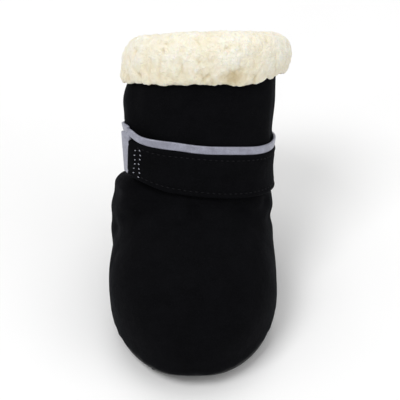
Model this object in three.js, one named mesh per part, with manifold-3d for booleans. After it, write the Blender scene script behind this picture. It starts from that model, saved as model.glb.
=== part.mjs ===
// Winter boot for a small dog, standing empty on its sole.
// Millimetres, +Z up. The toe points along -Y, the heel along +Y, and X runs across the foot.
// The origin lies on the ground face of the sole, under the middle of the foot.
import * as THREE from "three";
import { mergeVertices } from "three/addons/utils/BufferGeometryUtils.js";
import Module from "manifold-3d";

// Driving dimensions.
const FOOT_LENGTH = 69; // toe tip to the back of the heel
const BALL_WIDTH = 51; // widest part of the forefoot
const SHAFT_HEIGHT = 84; // ground to the front of the shaft's cut edge
const ORIGIN_FROM_TOE = 37;
const UPPER_WALL = 2.2; // pile fabric and its backing
const SOLE_THICKNESS = 2.4;
const SEAM_HEIGHT = 4.5; // where the turned-up sole meets the upper
const INSOLE_THICKNESS = 2.6;
const GAP = 0.3; // between pieces that touch
const STRAP_WIDTH = 12.8;
const STRAP_THICKNESS = 1.6;
const PIPING_HEIGHT = 2.2; // how far the reflective piping stands out of the strap's edge
const PIPING_THICKNESS = 0.8;
const PIPING_END_WIDTH = 7; // degrees of the leg that the piping on the strap's free end covers
const TUFT_PITCH = 4.6; // spacing of the curled tufts of the fleece
const TUFT_HEIGHT = 1.1;
const COLLAR_GIRTH = 132; // round the middle of the fleece collar

// The toe is a rounded cap in front of the first section. Each power shapes one outline of the cap.
const CAP = { length: 29, tipHeight: 10, widthPower: 1.85, lowPower: 2.4, highPower: 2 };

// Sections of the upper from the ball of the foot, round the heel and up the shaft. Each lies in a
// plane through a low point (sole, then heel, then back of the shaft) and a high point (vamp, then
// front of the shaft). Their y is a share of FOOT_LENGTH behind the toe tip, their z of SHAFT_HEIGHT,
// and width and side are shares of BALL_WIDTH. side is how far the section leans to +X, widest is how
// far up the section its widest place is, and the powers square its low and high halves.
const COLUMNS = ["lowY", "lowZ", "highY", "highZ", "width", "side", "widest", "lowPower", "highPower"];
const SECTIONS = [
  [0.42, -0.024, 0.42, 0.462, 1.0, 0, 0.4, 4.0, 2.3],
  [0.55, -0.024, 0.43, 0.467, 0.995, 0, 0.4, 4.0, 2.3],
  [0.69, -0.021, 0.441, 0.473, 0.985, 0, 0.41, 3.8, 2.3],
  [0.841, 0.004, 0.455, 0.481, 0.97, 0, 0.42, 3.2, 2.3],
  [0.949, 0.071, 0.47, 0.489, 0.95, 0.003, 0.44, 2.7, 2.3],
  [0.997, 0.185, 0.487, 0.5, 0.94, 0.012, 0.47, 2.4, 2.3],
  [0.992, 0.318, 0.51, 0.52, 0.845, 0.032, 0.49, 2.3, 2.2],
  [1.03, 0.413, 0.558, 0.595, 0.76, 0.058, 0.5, 2.2, 2.2],
  [1.09, 0.495, 0.62, 0.69, 0.84, 0.042, 0.5, 2.2, 2.2],
  [1.165, 0.593, 0.71, 0.825, 0.9, 0.035, 0.5, 2.2, 2.2],
  [1.225, 0.672, 0.783, 0.925, 0.845, 0.068, 0.5, 2.2, 2.2],
  [1.268, 0.73, 0.835, 1.0, 0.83, 0.094, 0.5, 2.2, 2.2],
];
const COLLAR = SECTIONS.length - 1; // station of the shaft's cut edge
const ANKLE = 7; // station of the section above the heel, as far as the sole's forms reach

// The strap lies between two planes that lean back, and a little to the +X side, from the ground.
const STRAP_PLANE = { y: 1.5, z: 50.8, leanBack: 25, leanSide: 6 };
// Angles round the leg, in degrees: 90 is the front, 0 the +X side and -90 the back. The free end
// lies over the sewn end, and the strap starts to rise over it at the front. Its top corner lies
// further forward than its middle by endLean.
const STRAP_ANGLES = { free: 149, overRaised: 132, rises: 104, sewn: -226, pipingFrom: -160, endLean: 4 };

// Outline of the fleece collar: mm down from the shaft's cut edge, mm out from the upper's outer
// face, and the share of a tuft's height there.
const FLEECE_ROLL = [
  { down: 9.8, out: GAP, fur: 0 },
  { down: 11.2, out: 1.0, fur: 0.6 },
  { down: 10.8, out: 2.2, fur: 1 },
  { down: 8.8, out: 3.1, fur: 1 },
  { down: 6.2, out: 3.6, fur: 1 },
  { down: 3.2, out: 3.9, fur: 1 },
  { down: 0.2, out: 3.6, fur: 1 },
  { down: -2.4, out: 2.1, fur: 1 },
  { down: -3.8, out: -0.4, fur: 1 },
  { down: -4.0, out: -3.2, fur: 1 },
  { down: -2.8, out: -5.8, fur: 1 },
  { down: -0.4, out: -7.4, fur: 1 },
  { down: 3.0, out: -8.0, fur: 1 },
  { down: 7.0, out: -8.0, fur: 1 },
  { down: 11.2, out: -7.8, fur: 0.8 },
  { down: 15.4, out: -7.2, fur: 0.8 },
  { down: 19.0, out: -6.2, fur: 0.8 },
  { down: 21.0, out: -4.8, fur: 0.5 },
  { down: 21.2, out: -UPPER_WALL - GAP, fur: 0 },
  { down: 14.0, out: -UPPER_WALL - GAP, fur: 0 },
  { down: 7.0, out: -UPPER_WALL - GAP, fur: 0 },
  { down: -1.0, out: -UPPER_WALL - GAP, fur: 0 },
  { down: -0.5, out: GAP, fur: 0 },
  { down: 3.6, out: GAP, fur: 0 },
  { down: 7.0, out: GAP, fur: 0 },
];
// The roll outside the shaft is shorter on the +X side: by a share of its length within some degrees
// of that side, and not at all beyond some more.
const SHORT_SIDE = { share: 0.34, within: 12, beyond: 66 };

// How finely each form is divided.
const FINE = { toeRings: 9, bodyRings: 28, around: 40 };
const COARSE = { toeRings: 6, bodyRings: 20, around: 36 };
const FLEECE_STEPS = 68; // round the collar
const STRAP_STEPS = 80;
const PIPING_STEPS = 70;

const wasm = await Module();
wasm.setup();

const radians = THREE.MathUtils.degToRad;
const mix = THREE.MathUtils.lerp;

// A column of the section table between two rows, on a smooth curve through all of them.
function column(name, station) {
  const last = SECTIONS.length - 1;
  const index = COLUMNS.indexOf(name);
  const row = THREE.MathUtils.clamp(Math.floor(station), 0, last - 1);
  const at = (i) => {
    if (i < 0) return 2 * SECTIONS[0][index] - SECTIONS[1][index];
    if (i > last) return 2 * SECTIONS[last][index] - SECTIONS[last - 1][index];
    return SECTIONS[i][index];
  };
  const t = station - row;
  const [a, b, c, d] = [at(row - 1), at(row), at(row + 1), at(row + 2)];
  if (t > 1) return c + (t - 1) * (c - b);
  return b + 0.5 * t * (c - a + t * (2 * a - 5 * b + 4 * c - d + t * (3 * (b - c) + d - a)));
}

// One section. Stations from -1 to 0 are the toe cap, and those past COLLAR carry on straight.
function section(station) {
  const at = Math.max(station, 0);
  const made = {
    lowY: column("lowY", at) * FOOT_LENGTH - ORIGIN_FROM_TOE,
    lowZ: column("lowZ", at) * SHAFT_HEIGHT,
    highY: column("highY", at) * FOOT_LENGTH - ORIGIN_FROM_TOE,
    highZ: column("highZ", at) * SHAFT_HEIGHT,
    halfWidth: (column("width", at) * BALL_WIDTH) / 2,
    side: column("side", at) * BALL_WIDTH,
    widest: column("widest", at),
    lowPower: column("lowPower", at),
    highPower: column("highPower", at),
  };
  if (station >= 0) return made;
  const reach = Math.sin((-station * Math.PI) / 2);
  const shrink = (power) => Math.max(1 - reach ** power, 0) ** (1 / power);
  made.lowY = made.highY = made.lowY - CAP.length * reach;
  made.lowZ = mix(CAP.tipHeight, made.lowZ, shrink(CAP.lowPower));
  made.highZ = mix(CAP.tipHeight, made.highZ, shrink(CAP.highPower));
  made.halfWidth *= shrink(CAP.widthPower);
  return made;
}

// A point on the upper's outer face, at an angle round its section.
function facePoint(station, angle) {
  const s = section(station);
  const low = new THREE.Vector3(0, s.lowY, s.lowZ);
  const rise = new THREE.Vector3(0, s.highY, s.highZ).sub(low);
  const [across, up] = [Math.cos(angle), Math.sin(angle)];
  const power = up > 0 ? s.highPower : s.lowPower;
  const reach = (Math.abs(across) ** power + Math.abs(up) ** power) ** (-1 / power);
  const share = s.widest + up * reach * (up > 0 ? 1 - s.widest : s.widest);
  const point = low.addScaledVector(rise, share);
  point.x = s.side + across * reach * s.halfWidth;
  return point;
}

// The outward normal there, from two short steps on the face.
function faceNormal(station, angle) {
  const step = 0.01;
  const at = Math.max(station, step - 1);
  const along = facePoint(at + step, angle).sub(facePoint(at - step, angle));
  const round = facePoint(at, angle + step).sub(facePoint(at, angle - step));
  return along.cross(round).normalize();
}

// A point some way out from the upper's outer face, or inside it where out is negative.
function nearFace(station, angle, out) {
  return facePoint(station, angle).addScaledVector(faceNormal(station, angle), out);
}

// The station between two limits where a rising measure reaches a value, by halving.
function stationWhere(measure, value, from, to) {
  const halvings = 30;
  let [low, high] = [from, to];
  for (let i = 0; i < halvings; i++) {
    const middle = (low + high) / 2;
    if (measure(middle) < value) low = middle;
    else high = middle;
  }
  return (low + high) / 2;
}

// The station some way down from the shaft's cut edge, or above it where down is negative.
function stationDown(angle, down) {
  const edge = facePoint(COLLAR, angle);
  const side = (station) => (station < COLLAR ? -1 : 1);
  const above = (station) => side(station) * edge.distanceTo(facePoint(station, angle));
  return stationWhere(above, -down, ANKLE - 1, COLLAR + 1);
}

const STRAP_MIDDLE = new THREE.Vector3(0, STRAP_PLANE.y, STRAP_PLANE.z);
const STRAP_UP = new THREE.Vector3(
  Math.tan(radians(STRAP_PLANE.leanSide)),
  Math.tan(radians(STRAP_PLANE.leanBack)),
  1,
).normalize();

// The station where the face crosses a plane at some height over the strap's middle plane.
function stationOnStrap(angle, height) {
  const above = (station) => facePoint(station, angle).sub(STRAP_MIDDLE).dot(STRAP_UP);
  return stationWhere(above, height, 0, COLLAR);
}

// A solid from lists of points and triangles.
function solidFrom(points, triangles) {
  return new wasm.Manifold(
    new wasm.Mesh({
      numProp: 3,
      vertProperties: new Float32Array(points.flatMap((p) => [p.x, p.y, p.z])),
      triVerts: new Uint32Array(triangles.flat()),
    }),
  );
}

// A solid from a three.js geometry.
function solidOf(geometry) {
  geometry.deleteAttribute("normal");
  geometry.deleteAttribute("uv");
  const merged = mergeVertices(geometry, 1e-4);
  return new wasm.Manifold(
    new wasm.Mesh({
      numProp: 3,
      vertProperties: merged.attributes.position.array,
      triVerts: new Uint32Array(merged.index.array),
    }),
  );
}

// Two triangles for each cell of a grid of rings. Rings that close join their last point to the
// first, and the last ring joins the first where the grid closes too.
function gridTriangles(rings, perRing, gridCloses) {
  const triangles = [];
  for (let r = 0; r < rings - (gridCloses ? 0 : 1); r++)
    for (let i = 0; i < perRing; i++) {
      const [a, b] = [r * perRing + i, r * perRing + ((i + 1) % perRing)];
      const next = ((r + 1) % rings) * perRing;
      const [c, d] = [next + i, next + ((i + 1) % perRing)];
      triangles.push([a, b, d], [a, d, c]);
    }
  return triangles;
}

// The closed form of the boot at some offset from the upper's outer face, up to a station.
function bootForm(out, lastStation, { toeRings, bodyRings, around }) {
  const stations = [];
  for (let i = 1; i < toeRings; i++) stations.push(-1 + i / toeRings);
  for (let i = 0; i <= bodyRings; i++) stations.push((lastStation * i) / bodyRings);
  const points = [];
  for (const station of stations)
    for (let i = 0; i < around; i++) points.push(nearFace(station, (-i / around) * 2 * Math.PI, out));
  const triangles = gridTriangles(stations.length, around, false);
  const tip = facePoint(-1, 0);
  tip.y -= out;
  const end = section(lastStation);
  const middle = new THREE.Vector3(end.side, (end.lowY + end.highY) / 2, (end.lowZ + end.highZ) / 2);
  points.push(tip, middle);
  const [tipIndex, endIndex] = [points.length - 2, points.length - 1];
  const lastRing = (stations.length - 1) * around;
  for (let i = 0; i < around; i++) {
    const next = (i + 1) % around;
    triangles.push([tipIndex, next, i], [endIndex, lastRing + i, lastRing + next]);
  }
  return solidFrom(points, triangles);
}

// A box between two heights, wider than the boot, to cut forms with.
function heights(from, to) {
  const size = 4 * SHAFT_HEIGHT;
  const box = new THREE.BoxGeometry(size, size, to - from);
  return solidOf(box.translate(0, 0, (from + to) / 2));
}

// The boot's outer form, and the hollow inside its upper, which runs out through the collar.
const outerForm = bootForm(0, COLLAR, FINE);
const upperHollow = bootForm(-UPPER_WALL, COLLAR + 0.3, COARSE);

// The upper is the outer form less its hollow, cut off at the seam.
function makeUpper() {
  const cutAway = heights(-SHAFT_HEIGHT, SEAM_HEIGHT + GAP);
  return outerForm.subtract(upperHollow).subtract(cutAway);
}

// The sole is a shallow tray: a flat ground face with its edge turned up to the seam.
function makeOutsole() {
  const tray = outerForm.intersect(heights(0, SEAM_HEIGHT));
  const inside = bootForm(-SOLE_THICKNESS, ANKLE, COARSE);
  return tray.subtract(inside.intersect(heights(SOLE_THICKNESS, SHAFT_HEIGHT)));
}

// The insole lies in the tray, flat below and above.
function makeInsole() {
  const from = SOLE_THICKNESS + GAP;
  const inside = bootForm(-SOLE_THICKNESS - 2 * GAP, ANKLE, COARSE);
  return inside.intersect(heights(from, from + INSOLE_THICKNESS));
}

// A repeatable number from 0 to 1 for a pair of whole numbers.
function scatter(i, j) {
  const value = Math.sin(i * 127.1 + j * 311.7) * 43758.5453;
  return value - Math.floor(value);
}

// How far the tufts stand out at a place on the fleece: turn is the share of the way round the
// collar, and along is mm over the roll. Each cell of a grid holds one tuft, off its middle.
function tuftHeight(turn, along) {
  const columns = Math.round(COLLAR_GIRTH / TUFT_PITCH);
  const [u, v] = [turn * columns, along / TUFT_PITCH];
  const offMiddle = (random) => 0.2 + 0.6 * random;
  let nearest = 1;
  for (let i = Math.floor(u) - 1; i <= Math.floor(u) + 1; i++)
    for (let j = Math.floor(v) - 1; j <= Math.floor(v) + 1; j++) {
      const wrapped = (i + columns) % columns;
      const du = u - i - offMiddle(scatter(wrapped, j));
      const dv = v - j - offMiddle(scatter(j, wrapped + columns));
      nearest = Math.min(nearest, du * du + dv * dv);
    }
  return TUFT_HEIGHT * (1 - 2 * nearest);
}

// How far down a row of the collar's outline lies at an angle round the leg.
function rowDown(row, angle) {
  if (row.down < 0 || row.out < GAP) return row.down;
  const offSide = THREE.MathUtils.radToDeg(Math.acos(Math.cos(angle)));
  const full = 1 - THREE.MathUtils.smoothstep(offSide, SHORT_SIDE.within, SHORT_SIDE.beyond);
  return row.down * (1 - SHORT_SIDE.share * full);
}

// The fleece lining turned over the shaft's edge: one roll outside it and a lining leg inside.
function makeFleeceCollar() {
  const points = [];
  for (let i = 0; i < FLEECE_STEPS; i++) {
    const turn = i / FLEECE_STEPS;
    const angle = turn * 2 * Math.PI;
    let along = 0;
    FLEECE_ROLL.forEach((row, k) => {
      const before = FLEECE_ROLL[Math.max(k - 1, 0)];
      const after = FLEECE_ROLL[Math.min(k + 1, FLEECE_ROLL.length - 1)];
      along += Math.hypot(row.down - before.down, row.out - before.out);
      const slope = Math.hypot(after.down - before.down, after.out - before.out);
      const fur = row.fur * tuftHeight(turn, along);
      const down = rowDown(row, angle) + (fur * (after.out - before.out)) / slope;
      const out = row.out - (fur * (after.down - before.down)) / slope;
      points.push(nearFace(stationDown(angle, down), angle, out));
    });
  }
  return solidFrom(points, gridTriangles(FLEECE_STEPS, FLEECE_ROLL.length, true));
}

// How far the strap's inner face lies out from the upper: one layer further over the sewn end.
function strapOut(angle) {
  const lifted = THREE.MathUtils.smoothstep(angle, STRAP_ANGLES.rises, STRAP_ANGLES.overRaised);
  return GAP + lifted * (STRAP_THICKNESS + GAP);
}

// The angle round the leg, in degrees, of a place on the strap at some height over its middle.
function strapAngle(degrees, height) {
  const { rises, free, endLean } = STRAP_ANGLES;
  const nearEnd = THREE.MathUtils.smoothstep(degrees, rises, free);
  return degrees - (endLean * nearEnd * height) / (STRAP_WIDTH / 2);
}

// A strip round the leg with a flat section: between two angles, two heights over the strap's
// middle plane and two distances out from its inner face.
function bandRound(fromAngle, toAngle, steps, lowHeight, highHeight, inner, outer, across) {
  const points = [];
  for (let i = 0; i <= steps; i++) {
    const degrees = mix(fromAngle, toAngle, i / steps);
    const place = (height, out) => {
      const angle = radians(strapAngle(degrees, height));
      points.push(nearFace(stationOnStrap(angle, height), angle, strapOut(degrees) + out));
    };
    for (let k = 0; k <= across; k++) place(mix(lowHeight, highHeight, k / across), outer);
    for (let k = across; k >= 0; k--) place(mix(lowHeight, highHeight, k / across), inner);
  }
  const perRing = 2 * (across + 1);
  const triangles = gridTriangles(steps + 1, perRing, false);
  const lastRing = steps * perRing;
  for (let k = 0; k < across; k++) {
    const [a, b, c, d] = [k, k + 1, perRing - 2 - k, perRing - 1 - k];
    triangles.push([a, c, b], [a, d, c]);
    const [e, f, g, h] = [a, b, c, d].map((index) => index + lastRing);
    triangles.push([e, f, g], [e, g, h]);
  }
  return solidFrom(points, triangles);
}

function makeStrap() {
  const { free, sewn } = STRAP_ANGLES;
  const half = STRAP_WIDTH / 2;
  return bandRound(sewn, free, STRAP_STEPS, -half, half, 0, STRAP_THICKNESS, 2);
}

// Reflective piping along the strap's top edge and down its free end, joined at the corner.
function makePiping() {
  const half = STRAP_WIDTH / 2;
  const inner = (STRAP_THICKNESS - PIPING_THICKNESS) / 2;
  const outer = inner + PIPING_THICKNESS;
  const low = half + GAP;
  const high = low + PIPING_HEIGHT;
  const endFrom = STRAP_ANGLES.free + 1;
  const endTo = endFrom + PIPING_END_WIDTH;
  const topBand = bandRound(STRAP_ANGLES.pipingFrom, endTo, PIPING_STEPS, low, high, inner, outer, 1);
  const endBand = bandRound(endFrom, endTo, 1, -half, low + PIPING_HEIGHT / 2, inner, outer, 3);
  return topBand.add(endBand);
}

// A named mesh of a solid.
function piece(name, solid, colour, roughness) {
  const made = solid.getMesh();
  const geometry = new THREE.BufferGeometry();
  geometry.setAttribute("position", new THREE.BufferAttribute(made.vertProperties, 3));
  geometry.setIndex(new THREE.BufferAttribute(made.triVerts, 1));
  geometry.computeVertexNormals();
  const material = new THREE.MeshStandardMaterial({ color: colour, roughness, metalness: 0 });
  const mesh = new THREE.Mesh(geometry, material);
  mesh.name = name;
  return mesh;
}

const boot = new THREE.Group();
boot.add(
  piece("upper", makeUpper(), 0x0b0b0d, 0.95),
  piece("outsole", makeOutsole(), 0x141414, 0.7),
  piece("insole", makeInsole(), 0xcbb88f, 0.95),
  piece("fleece_collar", makeFleeceCollar(), 0xf3ead2, 1),
  piece("strap", makeStrap(), 0x101012, 0.9),
  piece("strap_piping", makePiping(), 0xb4b6c4, 0.45),
);

export default boot;
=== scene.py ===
"""A small dog's winter boot: black pile fabric, cream fleece collar, reflective ankle strap, dotted sole.

Shapes are worked out in millimetres in the part's own frame: toe along -Y, heel along +Y, +Z up.
They become metres when a mesh is made.
"""

import itertools
import math

import bmesh
import bpy
import numpy as np
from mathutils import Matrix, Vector


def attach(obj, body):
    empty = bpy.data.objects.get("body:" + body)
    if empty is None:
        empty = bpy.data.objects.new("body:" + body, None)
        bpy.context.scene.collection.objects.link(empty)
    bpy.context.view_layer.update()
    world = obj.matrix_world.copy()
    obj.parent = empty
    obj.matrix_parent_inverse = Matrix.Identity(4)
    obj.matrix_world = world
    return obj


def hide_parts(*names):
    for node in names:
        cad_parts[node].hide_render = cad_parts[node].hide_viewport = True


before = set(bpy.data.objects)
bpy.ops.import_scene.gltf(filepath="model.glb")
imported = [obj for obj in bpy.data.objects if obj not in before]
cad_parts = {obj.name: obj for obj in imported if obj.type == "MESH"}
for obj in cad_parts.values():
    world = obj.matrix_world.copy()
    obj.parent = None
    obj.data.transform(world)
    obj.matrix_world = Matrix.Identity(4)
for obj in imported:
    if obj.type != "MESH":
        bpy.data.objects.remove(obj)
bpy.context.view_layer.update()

MM = 0.001

# Sizes in millimetres, the same as the solids have.
FOOT_LENGTH = 69.0
BALL_WIDTH = 51.0
SHAFT_HEIGHT = 84.0
ORIGIN_FROM_TOE = 37.0
UPPER_WALL = 2.2
SOLE_THICKNESS = 2.4
SEAM_HEIGHT = 4.5
INSOLE_THICKNESS = 2.6
GAP = 0.3
STRAP_WIDTH = 12.8
STRAP_THICKNESS = 1.6
PIPING_HEIGHT = 2.2
PIPING_THICKNESS = 0.8
PIPING_END_WIDTH = 9.5  # degrees round the leg
CAP_LENGTH = 29.0
CAP_TIP_HEIGHT = 10.0
CAP_POWERS = {"width": 1.85, "low": 2.4, "high": 2.0}

# Sections from the ball of the foot, round the heel and up the shaft. Each lies in a plane through
# a low point (sole, heel, back of the shaft) and a high point (vamp, front of the shaft), as shares
# of the sizes above.
SECTION_COLUMNS = (
    "low_y", "low_z", "high_y", "high_z", "width", "side", "widest", "low_power", "high_power",
)
SECTIONS = np.array([
    (0.42, -0.024, 0.42, 0.462, 1.0, 0.0, 0.4, 4.0, 2.3),
    (0.55, -0.024, 0.43, 0.467, 0.995, 0.0, 0.4, 4.0, 2.3),
    (0.69, -0.021, 0.441, 0.473, 0.985, 0.0, 0.41, 3.8, 2.3),
    (0.841, 0.004, 0.455, 0.481, 0.97, 0.0, 0.42, 3.2, 2.3),
    (0.949, 0.071, 0.47, 0.489, 0.95, 0.003, 0.44, 2.7, 2.3),
    (0.997, 0.185, 0.487, 0.5, 0.94, 0.012, 0.47, 2.4, 2.3),
    (0.992, 0.318, 0.51, 0.52, 0.845, 0.032, 0.49, 2.3, 2.2),
    (1.03, 0.413, 0.558, 0.595, 0.76, 0.058, 0.5, 2.2, 2.2),
    (1.09, 0.495, 0.62, 0.69, 0.84, 0.042, 0.5, 2.2, 2.2),
    (1.165, 0.593, 0.71, 0.825, 0.9, 0.035, 0.5, 2.2, 2.2),
    (1.225, 0.672, 0.783, 0.925, 0.845, 0.068, 0.5, 2.2, 2.2),
    (1.268, 0.73, 0.835, 1.0, 0.83, 0.094, 0.5, 2.2, 2.2),
])
COLLAR = len(SECTIONS) - 1  # the row of the shaft's cut edge
ANKLE = 7

# The strap's middle plane and its angles round the leg: 90 is the front, 0 the +X side.
STRAP_MIDDLE = np.array([0.0, 1.5, 50.8])
STRAP_LEAN_BACK = 25.0
STRAP_LEAN_SIDE = 6.0
STRAP_FREE = 147.0
STRAP_OVER_RAISED = 132.0
STRAP_RISES = 104.0
STRAP_SEWN = -226.0
PIPING_FROM = -207.0
STRAP_RIDES_UP = 0.8
STRAP_END_RISES = 1.5
STRAP_END_RISES_AT = (112, 146, 154, 196)
STRAP_END_LEAN = 4.0  # how many degrees forward the free end's top corner lies of its middle

# The fleece collar's outline: mm down from the shaft's cut edge, mm out from the upper's outer
# face, and the share of the fur's height there.
FLEECE_ROLL = [
    (9.8, GAP, 0.0), (11.2, 1.0, 0.6), (10.8, 2.2, 1.0), (8.8, 3.1, 1.0), (6.2, 3.6, 1.0),
    (3.2, 3.9, 1.0), (0.2, 3.6, 1.0), (-2.4, 2.1, 1.0), (-3.8, -0.4, 1.0), (-4.0, -3.2, 1.0),
    (-2.8, -5.8, 1.0), (-0.4, -7.4, 1.0), (3.0, -8.0, 1.0), (7.0, -8.0, 1.0), (11.2, -7.8, 0.8),
    (15.4, -7.2, 0.8), (19.0, -6.2, 0.8), (21.0, -4.8, 0.5), (21.2, -UPPER_WALL - GAP, 0.0),
    (14.0, -UPPER_WALL - GAP, 0.0), (7.0, -UPPER_WALL - GAP, 0.0), (-1.0, -UPPER_WALL - GAP, 0.0),
    (-0.5, GAP, 0.0), (3.6, GAP, 0.0), (7.0, GAP, 0.0),
]

# The roll outside the shaft is shorter on the +X side: by a share of its length within some degrees
# of that side, and not at all beyond some more.
SHORT_SIDE = {"share": 0.34, "within": 12.0, "beyond": 66.0}


# The boot's form.


def smoothstep(low, high, value):
    """0 up to one value and 1 from the other, smooth between them, whichever is the greater."""
    t = np.clip((value - low) / (high - low), 0.0, 1.0)
    return t * t * (3.0 - 2.0 * t)


def window(zero_to, one_from, one_to, zero_from, value):
    """1 between two inner values and 0 beyond the outer two, smooth between them."""
    return smoothstep(zero_to, one_from, value) * (1 - smoothstep(one_to, zero_from, value))


def bell(value, width):
    """1 at 0, falling off smoothly over about a width to either side."""
    return np.exp(-((value / width) ** 2))


def curve_between(a, b, c, d, t):
    """A smooth curve from b to c, with a before them and d after them."""
    return b + 0.5 * t * (c - a + t * (2 * a - 5 * b + 4 * c - d + t * (3 * (b - c) + d - a)))


def column(name, station):
    """A column of the section table between its rows, on a smooth curve through all of them."""
    table = SECTIONS[:, SECTION_COLUMNS.index(name)]
    table = np.concatenate([[2 * table[0] - table[1]], table, [2 * table[-1] - table[-2]]])
    row = np.clip(np.floor(station), 0, COLLAR - 1).astype(int)
    t = station - row
    a, b, c, d = (table[row + k] for k in range(4))
    return np.where(t > 1, c + (t - 1) * (c - b), curve_between(a, b, c, d, t))


def section(station):
    """One section for each station. Those from -1 to 0 are the toe cap."""
    station = np.asarray(station, float)
    body = np.maximum(station, 0.0)
    made = {name: column(name, body) for name in SECTION_COLUMNS}
    reach = np.sin(np.clip(-station, 0.0, 1.0) * math.pi / 2)
    shrink = {name: np.maximum(1 - reach ** p, 0.0) ** (1 / p) for name, p in CAP_POWERS.items()}
    for name in ("low", "high"):
        made[name + "_y"] = made[name + "_y"] * FOOT_LENGTH - ORIGIN_FROM_TOE - CAP_LENGTH * reach
        z = made[name + "_z"] * SHAFT_HEIGHT
        made[name + "_z"] = CAP_TIP_HEIGHT + (z - CAP_TIP_HEIGHT) * shrink[name]
    made["side"] = made["side"] * BALL_WIDTH
    made["half_width"] = made["width"] * BALL_WIDTH / 2 * shrink["width"]
    return made


def face_point(station, angle):
    """Points on the upper's outer face, at angles round their sections."""
    s = section(station)
    across, up = np.cos(angle), np.sin(angle)
    power = np.where(up > 0, s["high_power"], s["low_power"])
    reach = (np.abs(across) ** power + np.abs(up) ** power) ** (-1 / power)
    share = s["widest"] + up * reach * np.where(up > 0, 1 - s["widest"], s["widest"])
    x = s["side"] + across * reach * s["half_width"]
    y = s["low_y"] + (s["high_y"] - s["low_y"]) * share
    z = s["low_z"] + (s["high_z"] - s["low_z"]) * share
    return np.stack(np.broadcast_arrays(x, y, z), axis=-1)


def face_normal(station, angle):
    """The outward normals of points on that face, from two short steps on it."""
    step = 0.01
    at = np.maximum(station, step - 1)
    along = face_point(at + step, angle) - face_point(at - step, angle)
    round_it = face_point(at, angle + step) - face_point(at, angle - step)
    normal = np.cross(along, round_it)
    return normal / np.linalg.norm(normal, axis=-1, keepdims=True)


def near_face(station, angle, out):
    """Points some way out from the upper's outer face, or inside it where out is negative."""
    return face_point(station, angle) + face_normal(station, angle) * np.asarray(out)[..., None]


HALVINGS = 26


def where_reached(measure, value, low, high):
    """Where a rising measure reaches a value between two numbers, by halving."""
    for _ in range(HALVINGS):
        middle = (low + high) / 2
        under = measure(middle) < value
        low = np.where(under, middle, low)
        high = np.where(under, high, middle)
    return (low + high) / 2


def station_down(angle, down):
    """The station some way down from the shaft's cut edge."""
    edge = face_point(COLLAR, angle)

    def above(station):
        distance = np.linalg.norm(face_point(station, angle) - edge, axis=-1)
        return np.where(station < COLLAR, -distance, distance)

    return where_reached(above, -down, ANKLE - 1, COLLAR + 1)


STRAP_UP = np.array([math.tan(math.radians(lean)) for lean in (STRAP_LEAN_SIDE, STRAP_LEAN_BACK)] + [1.0])
STRAP_UP /= np.linalg.norm(STRAP_UP)


def strap_rise(angle):
    """How far the pulled strap rides up from its middle plane, most at its free end."""
    return STRAP_RIDES_UP + STRAP_END_RISES * window(*STRAP_END_RISES_AT, np.degrees(angle) % 360)


def station_on_strap(angle, height):
    """The station where the face crosses a plane at some height over the strap's middle plane."""

    def above(station):
        return (face_point(station, angle) - STRAP_MIDDLE) @ STRAP_UP

    return where_reached(above, height, 0, COLLAR)


PLAN_SECTIONS = section(np.linspace(-1.0, 6.0, 4000))


def plan_radius(direction, z):
    """How far the boot's face lies from the upright axis of the foot, in directions at one height."""
    s = PLAN_SECTIONS
    share = (z - s["low_z"]) / np.maximum(s["high_z"] - s["low_z"], 1e-6)
    on_it = (share > 0) & (share < 1)
    over = share > s["widest"]
    up = np.where(over, (share - s["widest"]) / (1 - s["widest"]), (s["widest"] - share) / s["widest"])
    power = np.where(over, s["high_power"], s["low_power"])
    reach = np.clip(1 - np.clip(up, 0, 1) ** power, 0, 1) ** (1 / power) * s["half_width"]
    y = s["low_y"] + (s["high_y"] - s["low_y"]) * share
    x = np.concatenate([(s["side"] + reach)[on_it], (s["side"] - reach)[on_it]])
    y = np.concatenate([y[on_it], y[on_it]])
    turn, radius = np.arctan2(y, x), np.hypot(x, y)
    order = np.argsort(turn)
    return np.interp(direction, turn[order], radius[order], period=2 * math.pi)


# Repeatable noise.


SCATTER_FACTORS = (127.1, 311.7, 74.7, 269.5)
SCATTER_SCALE = 43758.5453
TUFT_SPREAD = 0.85


def scatter(*cells):
    """Repeatable numbers from 0 to 1 for whole-number cells."""
    mixed = sum(np.asarray(c, float) * k for c, k in zip(cells, SCATTER_FACTORS))
    value = np.sin(mixed) * SCATTER_SCALE
    return value - np.floor(value)


def soft_noise(points, pitch, seed):
    """Smooth noise from -1 to 1, with bumps about a pitch apart."""
    at = points / pitch
    cell = np.floor(at)
    t = at - cell
    t = t * t * (3 - 2 * t)
    total = 0.0
    for corner in itertools.product((0, 1), repeat=3):
        weight = np.ones(t.shape[:-1])
        for axis, far in enumerate(corner):
            weight = weight * (t[..., axis] if far else 1 - t[..., axis])
        total = total + weight * scatter(*np.moveaxis(cell + corner, -1, 0), seed)
    return 2 * total - 1


def tufts(points, pitch, seed):
    """Round lumps set close together: 1 on a lump's top, falling to 0 in the creases."""
    at = points / pitch
    cell = np.floor(at)
    nearest = np.full(at.shape[:-1], np.inf)
    for corner in itertools.product((-1, 0, 1), repeat=3):
        home = cell + corner
        keys = np.moveaxis(home, -1, 0)
        jitter = np.stack([scatter(*keys, seed + k) for k in (1, 2, 3)], axis=-1)
        nearest = np.minimum(nearest, (((home + jitter) - at) ** 2).sum(-1))
    return np.sqrt(np.clip(1 - nearest / TUFT_SPREAD, 0.0, 1.0))


# Meshes.


def placed(name, data):
    """A new object in the scene."""
    made = bpy.data.objects.new(name, data)
    bpy.context.scene.collection.objects.link(made)
    return made


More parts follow.
